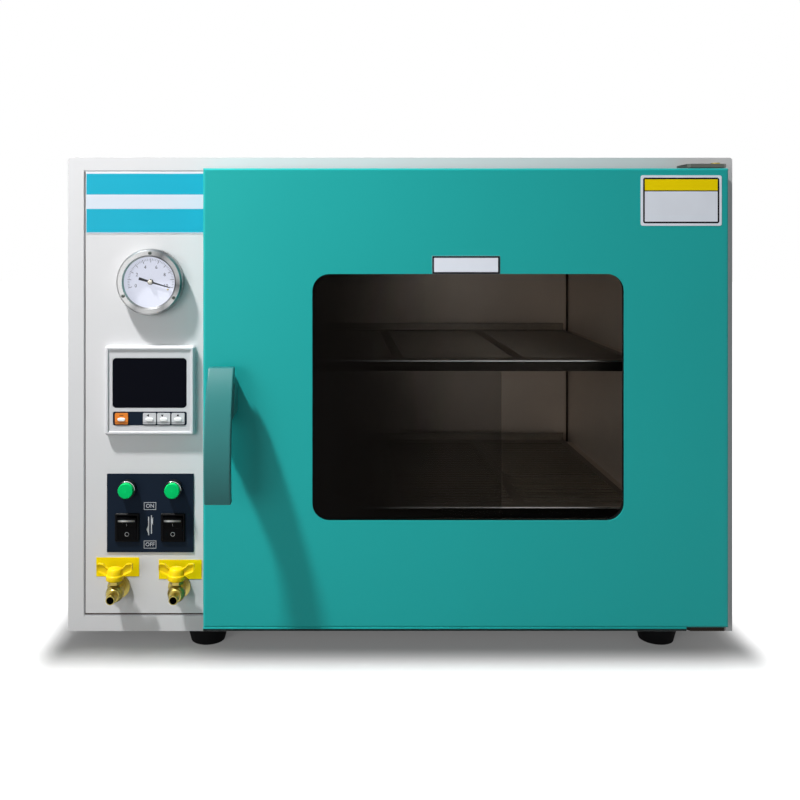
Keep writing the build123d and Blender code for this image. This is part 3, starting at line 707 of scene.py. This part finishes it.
gaugeSlots = {"circle": 31.2 * mm, "angles": (88, 208, 328), "turns": (20, 75, 130),
              "length": 2.5 * mm, "line": 0.7 * mm}


def makeGaugeSlots():
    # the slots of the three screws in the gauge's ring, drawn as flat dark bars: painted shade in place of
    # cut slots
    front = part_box("gauge_screws")[0].y
    slots = []
    for angle, turn in zip(gaugeSlots["angles"], gaugeSlots["turns"]):
        slot = printedBar(gaugeSlots["length"], gaugeSlots["line"], (0, 0, 0))
        slot.rotation_euler = (0, math.radians(turn), 0)
        spoke = Vector((math.cos(math.radians(angle)), 0, math.sin(math.radians(angle))))
        slot.location = Vector((gauge["across"], front, gauge["height"])) + spoke * gaugeSlots["circle"]
        slots.append(slot)
    dress(joined(slots), "gaugeSlots", "cabinet", "needle")


keyMarks = {
    "key_shift": {"body": "shift_key", "spin": 180},
    "key_down": {"body": "down_key", "spin": 270},
    "key_up": {"body": "up_key", "spin": 90},
}


def makeKeyMarks():
    # a small printed arrow above the pill of each white key, and a bar above the orange one's
    size = {"radius": 1.7 * mm, "lift": 3.6 * mm, "left": 1.4 * mm, "pill": 1.0 * mm,
            "bar": (4.2 * mm, 0.9 * mm), "proud": 0.03 * mm}
    for name, settings in keyMarks.items():
        low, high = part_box(name)
        x = (low.x + high.x) / 2 - (0 if name == "key_up" else size["left"])
        z = (low.z + high.z) / 2 + size["lift"]
        face = low.y + size["pill"]
        arrow = printedPolygon(3, size["radius"], (x, face, z), math.radians(settings["spin"] - 90))
        dress(arrow, name.replace("key_", "mark_"), settings["body"], "needle")
    low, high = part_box("key_set")
    middle = (low + high) / 2
    place = (middle.x, low.y + size["pill"] - size["proud"], middle.z + size["lift"])
    bar = printedBar(*size["bar"], place)
    dress(bar, "mark_set", "set_key", "keyBrown")


switchPrint = {
    "middle": -271.0 * mm, "face": frontY - 0.5 * mm,
    "words": {"ON": (152.6 * mm, 13.2 * mm, 8.1 * mm), "OFF": (110.9 * mm, 13.4 * mm, 8.4 * mm)},
    "letter": 5.8 * mm, "line": 0.5 * mm, "arrows": 131.8 * mm,
    "shaft": {"width": 1.0 * mm, "length": 20 * mm, "aside": 1.5 * mm, "up": 0.8 * mm},
    "barb": {"radius": 1.0 * mm, "stretch": (1.25, 5.2), "aside": 2.5 * mm, "up": 4.5 * mm},
}


def makeSwitchPrint():
    x, y = switchPrint["middle"], switchPrint["face"]
    prints = []
    for word, (z, width, height) in switchPrint["words"].items():
        prints.append(printedFrame(width, height, switchPrint["line"], (x, y, z)))
        prints.append(printedText(word, switchPrint["letter"], (x, y, z)))
    for side in (-1, 1):
        # a pair of half arrows: the left one points down to OFF, the right one up to ON
        shaft, barb = switchPrint["shaft"], switchPrint["barb"]
        places = [(x + side * form["aside"], y, switchPrint["arrows"] + side * form["up"])
                  for form in (shaft, barb)]
        prints.append(printedBar(shaft["width"], shaft["length"], places[0]))
        prints.append(printedPolygon(3, barb["radius"], places[1], math.radians(90), barb["stretch"]))
    dress(joined(prints), "switchPrint", "cabinet", "printWhite")


rocker = {
    "pivot": frontY + 1.5 * mm, "height": 129.6 * mm, "tilt": math.radians(7.5),
    "lean": math.atan(1.8 / 12.2), "middleOut": 4.4 * mm, "lift": 0.02 * mm,
    "bar": (0.35 * mm, 3.0 * mm), "ring": (2.1 * mm, 0.24 * mm),
}


def makeRockerMarks():
    # I and O moulded on each rocker's two faces, which lean away from its middle
    marks = {"I": (4.2 * mm, 1), "O": (-6.2 * mm, -1)}
    for name, body in (("rocker_power", "power_rocker"), ("rocker_heat", "heat_rocker")):
        low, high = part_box(name)
        x = (low.x + high.x) / 2
        pair = []
        for letter, (up, side) in marks.items():
            out = rocker["middleOut"] + abs(up) * math.tan(rocker["lean"]) + rocker["lift"]
            y = -out * math.cos(rocker["tilt"]) - up * math.sin(rocker["tilt"])
            z = up * math.cos(rocker["tilt"]) - out * math.sin(rocker["tilt"])
            place = (x, rocker["pivot"] + y, rocker["height"] + z)
            turn = rocker["tilt"] + side * rocker["lean"]
            if letter == "I":
                mark = printedBar(*rocker["bar"], (0, 0, 0))
                mark.rotation_euler = (turn, 0, 0)
                mark.location = place
            else:
                mark = printedRing(*rocker["ring"], place, turn)
            pair.append(mark)
        dress(joined(pair), name.replace("rocker_", "rockerMarks_"), body, "printGrey")


lampRim = {"inward": 9.5 * mm, "radius": 8.85 * mm, "line": 0.5 * mm, "back": 0.25 * mm}


def makeLampRims():
    # the polished ring at the front of each lamp's collar
    low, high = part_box("lamp_collars")
    rings = []
    for x in (low.x + lampRim["inward"], high.x - lampRim["inward"]):
        place = (x, low.y + lampRim["back"], (low.z + high.z) / 2)
        rings.append(printedRing(lampRim["radius"], lampRim["line"], place, 0.0, 48))
    dress(joined(rings), "lampRims", "cabinet", "lampSteel")


labels = {
    # blank plates on the door: their middles, sizes and the height of a coloured band at the top
    "windowLabel": {"middle": (66.3, 414.8), "size": (71.1, 19.0), "corner": 0.8, "margin": 0.1,
                    "line": 2.0, "band": 0},
    "cornerLabel": {"middle": (291.2, 482.2), "size": (84.7, 52.8), "corner": 2.2, "margin": 2.5,
                    "line": 1.8, "band": 11.5},
}


def roundedPlate(width, height, corner, thickness, place, finish):
    # a thin plate with round corners that faces the front; place is the middle of its back
    x, y, z = place
    plate = block(width, thickness, height, (x, y - thickness / 2, z))
    bpy.ops.object.mode_set(mode="EDIT")
    pickEdges(plate, lambda a, b: abs(a.y - b.y) > thickness / 2)
    bpy.ops.mesh.bevel(offset=corner, segments=4, affect="EDGES")
    bpy.ops.object.mode_set(mode="OBJECT")
    plate.data.materials.append(finishes[finish].material)
    return plate


def makeLabels():
    # thin printed plates without any words: white stock, a dark outline and a plain field
    stock, layer = 0.3 * mm, 0.06 * mm
    fieldCorner, bandCorner = 0.5 * mm, 0.3 * mm
    divider = 0.6      # the line under the band, as a share of the outline
    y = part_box("door_shell")[0].y
    for name, settings in labels.items():
        width, height = (value * mm for value in settings["size"])
        x, z = (value * mm for value in settings["middle"])
        corner, margin, line, band = (settings[key] * mm for key in ("corner", "margin", "line", "band"))
        inner = margin + line
        split = band + line * divider if band else 0
        fieldWidth = width - 2 * inner
        fieldHeight = height - 2 * inner - split
        plates = [
            roundedPlate(width, height, corner, stock, (x, y, z), "labelWhite"),
            roundedPlate(width - 2 * margin, height - 2 * margin, corner, stock + layer, (x, y, z),
                         "needle"),
            roundedPlate(fieldWidth, fieldHeight, fieldCorner, stock + 2 * layer, (x, y, z - split / 2),
                         "labelWhite"),
        ]
        if band:
            bandZ = z + height / 2 - inner - band / 2
            plates.append(roundedPlate(fieldWidth, band, bandCorner, stock + 2 * layer, (x, y, bandZ),
                                       "yellowPlate"))
        dress(joined(plates), name, "door", None)


valve = {
    # from the underside of the hub: its stem and hub as (radius, height), then the wing's sections
    # as (distance from the axis, low, high)
    "turned": [(2.9, -8.6), (2.9, 0), (8.2, 0), (9.3, 0.9), (9.3, 5.6), (8.1, 6.6), (7.9, 10.6),
               (6.8, 12.6), (4.4, 13.6), (1.0, 13.9)],
    "wing": [(5.5, 4.0, 11.4), (9.5, 5.4, 14.2), (12.5, 7.2, 17.2), (18.8, 9.6, 18.0)],
    "thickness": 5.0, "pocket": 1.5, "pocketFrom": 6.0, "tipRound": 2.2, "round": 0.5, "top": 20.4,
}


def ringStack(sections, sides=40):
    # a turned form, built up ring by ring from its (radius, height) sections
    radius, height = (value * mm for value in sections[0])
    bpy.ops.object.select_all(action="DESELECT")
    bpy.ops.mesh.primitive_circle_add(vertices=sides, radius=radius, fill_type="NGON",
                                      location=(0, 0, height))
    form = bpy.context.object
    bpy.ops.object.transform_apply(location=True, rotation=True, scale=True)
    bpy.ops.object.mode_set(mode="EDIT")
    bpy.ops.mesh.select_all(action="SELECT")
    for nextRadius, nextHeight in sections[1:]:
        rise = nextHeight * mm - height
        bpy.ops.mesh.extrude_region_move(TRANSFORM_OT_translate={"value": (0, 0, rise)})
        ratio = nextRadius * mm / radius
        bpy.ops.transform.resize(value=(ratio, ratio, 1), center_override=(0, 0, 0))
        radius, height = nextRadius * mm, nextHeight * mm
    bpy.ops.mesh.select_all(action="SELECT")
    bpy.ops.mesh.normals_make_consistent(inside=False)
    bpy.ops.object.mode_set(mode="OBJECT")
    return form


def makeWings():
    # one wing pulled out section by section, hollowed a little on both sides, then mirrored
    thickness = valve["thickness"] * mm
    (near, low, high), *outer = [[value * mm for value in section] for section in valve["wing"]]
    root = 1 * mm
    wing = block(root, thickness, high - low, (near - root / 2, 0, (low + high) / 2))
    bpy.ops.object.mode_set(mode="EDIT")
    for far, nextLow, nextHigh in outer:
        pickFaces(wing, lambda middle, normal: normal.x > 0.99)
        move = (far - near, 0, (nextLow + nextHigh - low - high) / 2)
        bpy.ops.mesh.extrude_region_move(TRANSFORM_OT_translate={"value": move})
        centre = (far, 0, (nextLow + nextHigh) / 2)
        bpy.ops.transform.resize(value=(1, 1, (nextHigh - nextLow) / (high - low)), center_override=centre)
        near, low, high = far, nextLow, nextHigh
    tip = near - 0.1 * mm
    pickEdges(wing, lambda a, b: a.x > tip and b.x > tip and abs(a.y - b.y) > thickness / 2)
    bpy.ops.mesh.bevel(offset=valve["tipRound"] * mm, segments=4, affect="EDGES")
    pickFaces(wing, lambda middle, normal: abs(normal.y) > 0.9 and middle.x > valve["pocketFrom"] * mm)
    bpy.ops.mesh.inset(thickness=valve["pocket"] * mm)
    bpy.ops.transform.resize(value=(1, 0.5, 1), center_override=(0, 0, 0))
    bpy.ops.object.mode_set(mode="OBJECT")
    mirror = wing.modifiers.new("mirror", "MIRROR")
    chooseOnly(wing)
    bpy.ops.object.modifier_apply(modifier=mirror.name)
    softenEdges(wing, valve["round"] * mm, 2, 30)
    return wing


def makeValveHandles():
    # the dipped butterfly handles: a stepped hub with two hollowed wings
    hub = ringStack(valve["turned"])
    softenEdges(hub, valve["round"] * mm, 2, 30)
    handle = joined([hub, makeWings()])
    for side in ("left", "right"):
        name = "valve_handle_" + side
        low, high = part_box(name)
        twin = copyOf(handle)
        twin.location = ((low.x + high.x) / 2, (low.y + high.y) / 2, high.z - valve["top"] * mm)
        dress(twin, "valveHandle_" + side, side + "_valve_handle", "yellowCoat")
        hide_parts(name)
    bpy.data.objects.remove(handle)


hem = {"height": 3.2 * mm, "depth": 16 * mm, "right": 297 * mm, "lap": 0.8 * mm, "wall": 1.4 * mm,
       "hollow": 1.6 * mm, "round": 0.4 * mm}


def makeDoorHem():
    # the folded hem along the door's lower edge, cut short of the lower hinge
    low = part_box("door_shell")[0]
    middleZ = low.z + (hem["lap"] - hem["height"]) / 2
    place = ((low.x + hem["right"]) / 2, low.y + hem["depth"] / 2, middleZ)
    fold = block(hem["right"] - low.x, hem["depth"], hem["height"] + hem["lap"], place)
    bpy.ops.object.mode_set(mode="EDIT")
    pickFaces(fold, lambda middle, normal: normal.z < -0.9)
    bpy.ops.mesh.inset(thickness=hem["wall"])
    bpy.ops.mesh.extrude_region_move(TRANSFORM_OT_translate={"value": (0, 0, hem["hollow"])})
    bpy.ops.object.mode_set(mode="OBJECT")
    softenEdges(fold, hem["round"])
    # its finish paints shade, nearly black, over the lowest part of the fold
    dress(fold, "doorHem", "door", "hem")


shelfRim = {"radius": 0.9 * mm, "out": 0.3 * mm, "down": 0.6 * mm, "short": 8 * mm}


def makeShelfRims():
    # the bright rolled wire along the front of each shelf
    for level in ("upper", "lower"):
        low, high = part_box("shelf_" + level)
        place = ((low.x + high.x) / 2, low.y - shelfRim["out"], shelfEdge[level] - shelfRim["down"])
        rim = rod(shelfRim["radius"], high.x - low.x - shelfRim["short"], place, (0, math.radians(90), 0))
        bpy.ops.object.shade_smooth_by_angle(angle=math.radians(40))
        dress(rim, "shelfRim_" + level, "cabinet", "bright")


def makeCornerSeams():
    # the dark welded seams in the chamber's two rear corners
    corner = {"left": -141.8 * mm, "right": 275.8 * mm, "back": 190.8 * mm, "middle": 276 * mm,
              "length": 326 * mm, "radius": 1.3 * mm}
    for side in ("left", "right"):
        place = (corner[side], corner["back"], corner["middle"])
        bead = rod(corner["radius"], corner["length"], place)
        bpy.ops.object.shade_smooth_by_angle(angle=math.radians(40))
        dress(bead, "cornerSeam_" + side, "cabinet", "seamAndGapShade")


def makePanelGap():
    # dark bars that paint the shade in the gap below and beside the control panel
    low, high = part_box("control_panel")
    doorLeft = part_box("door_shell")[0].x
    gap = {"below": 1.5 * mm, "beside": 0.6 * mm, "face": 0.05 * mm}
    middle = (low.x + doorLeft) / 2
    bars = [
        printedBar(doorLeft - low.x, gap["below"], (middle, low.y - gap["face"], low.z + gap["below"] / 2)),
        printedBar(gap["beside"], high.z - low.z, (low.x, low.y - gap["face"], (low.z + high.z) / 2)),
    ]
    dress(joined(bars), "panelGapShade", "cabinet", "seamAndGapShade")


makeGaugeScale()
makeGaugeFittings()
makeKeyMarks()
makeSwitchPrint()
makeRockerMarks()
makeLampRims()
makeLabels()
makeValveHandles()
makeGaugeSlots()
makeDoorHem()
makeShelfRims()
makeCornerSeams()
makePanelGap()
print("printed marks, labels and small fittings made")


room = {
    "floorSize": 16, "ambient": 0.21, "nearGlow": 0.1, "farGlow": 1.0, "paintedShadeTone": 0.56, "farTone": 0.8,
    "footprint": {"x": 0.36, "front": -0.18, "back": 0.27}, "fadeFrom": 0.002, "fadeTo": 0.17,
    "frontFade": 2.2, "sideFade": 4.0,
}
lamps = {
    "key": {"place": (-0.81, -0.64, 1.64), "aim": (-0.06, -0.25, 0.1), "size": 0.1, "power": 7.7,
            "spread": 80},
    "top": {"place": (0.3, 0.5, 2.4), "aim": (0.0, 0.0, 0.3), "size": 1.6, "power": 9, "spread": 180},
    "front": {"place": (-1.6, -2.5, 0.7), "aim": (0.2, 0.0, 0.2), "size": 1.2, "power": 18,
              "spread": 180},
}


def whiteForCamera(wiring):
    # 1 for rays from the camera and those mirrored or passed on by metal and glass
    path = wiring.add("ShaderNodeLightPath", output="Is Camera Ray")
    outputs = path.socket.node.outputs
    mirrored = Wire(wiring, outputs["Is Glossy Ray"])
    passed = Wire(wiring, outputs["Is Transmission Ray"])
    return path.maths("MAXIMUM", path.maths("MAXIMUM", path, mirrored), passed)


def makeFloor():
    # pale, and white for the camera away from the oven, where its shadow ends; near the oven's footprint
    # its colour is darker, a painted shade
    bpy.ops.object.select_all(action="DESELECT")
    bpy.ops.mesh.primitive_plane_add(size=room["floorSize"], location=(0, 0, 0))
    floor = bpy.context.object
    floor.name = "floor"
    finish = Finish("studioFloor", rough=0.9, gloss=0.0, glowStrength=1.0)
    across, along, _ = finish.axes()
    edge = room["footprint"]
    aside = (across.size() - edge["x"]).atLeast(0) * room["sideFade"]
    ahead = (edge["front"] - along).atLeast(0) * room["frontFade"]
    behind = (along - edge["back"]).atLeast(0)
    away = (aside * aside + ahead * ahead + behind * behind).root()
    fade = finish.add("ShaderNodeMapRange", {"interpolation_type": "SMOOTHSTEP"}, {
        "Value": away, "From Min": room["fadeFrom"], "From Max": room["fadeTo"],
        "To Min": room["nearGlow"], "To Max": room["farGlow"]})
    # painted shade: the floor's colour darkens towards the oven's footprint
    tone = finish.mixColour(fade, (room["paintedShadeTone"],) * 3, (room["farTone"],) * 3)
    finish.feed(colour=tone, glow=finish.mixColour(fade * whiteForCamera(finish), (0, 0, 0), (1, 1, 1)))
    floor.data.materials.append(finish.material)


def makeSky():
    world = bpy.data.worlds.new("studio")
    bpy.context.scene.world = world
    world.use_nodes = True
    wiring = Wiring(world.node_tree)
    sky = world.node_tree.nodes["Background"]
    sky.inputs["Color"].default_value = (1, 1, 1, 1)
    strength = room["ambient"] + (1 - room["ambient"]) * whiteForCamera(wiring)
    world.node_tree.links.new(strength.socket, sky.inputs["Strength"])


def makeLamps():
    for name, settings in lamps.items():
        lamp = bpy.data.lights.new(name, "AREA")
        lamp.shape = "SQUARE"
        lamp.size = settings["size"]
        lamp.energy = settings["power"]
        lamp.spread = math.radians(settings["spread"])
        holder = bpy.data.objects.new(name, lamp)
        holder.location = settings["place"]
        aim = Vector(settings["aim"]) - Vector(settings["place"])
        holder.rotation_euler = aim.to_track_quat("-Z", "Y").to_euler()
        bpy.context.scene.collection.objects.link(holder)
        if name == "key":
            # the floor keeps the broad lamps' soft shadow only
            lit = bpy.data.collections.new("litByKey")
            lit.objects.link(bpy.data.objects["floor"])
            lit.collection_objects[0].light_linking.link_state = "EXCLUDE"
            holder.light_linking.receiver_collection = lit


def makeCamera():
    # level, square to the front, with the lens shifted to frame the oven
    settings = {"across": -73, "height": 443, "away": 990, "lens": 41.1, "shift": (0.084, -0.2025)}
    camera = bpy.data.objects.new("camera", bpy.data.cameras.new("camera"))
    bpy.context.scene.collection.objects.link(camera)
    camera.location = (settings["across"] * mm, frontY - settings["away"] * mm, settings["height"] * mm)
    camera.rotation_euler = (math.radians(90), 0, 0)
    camera.data.sensor_width = 36
    camera.data.lens = settings["lens"]
    camera.data.shift_x, camera.data.shift_y = settings["shift"]
    bpy.context.scene.camera = camera


makeFloor()
makeSky()
makeLamps()
makeCamera()
view = bpy.context.scene.view_settings
view.view_transform = "Standard"
print("room, lamps and camera ready")
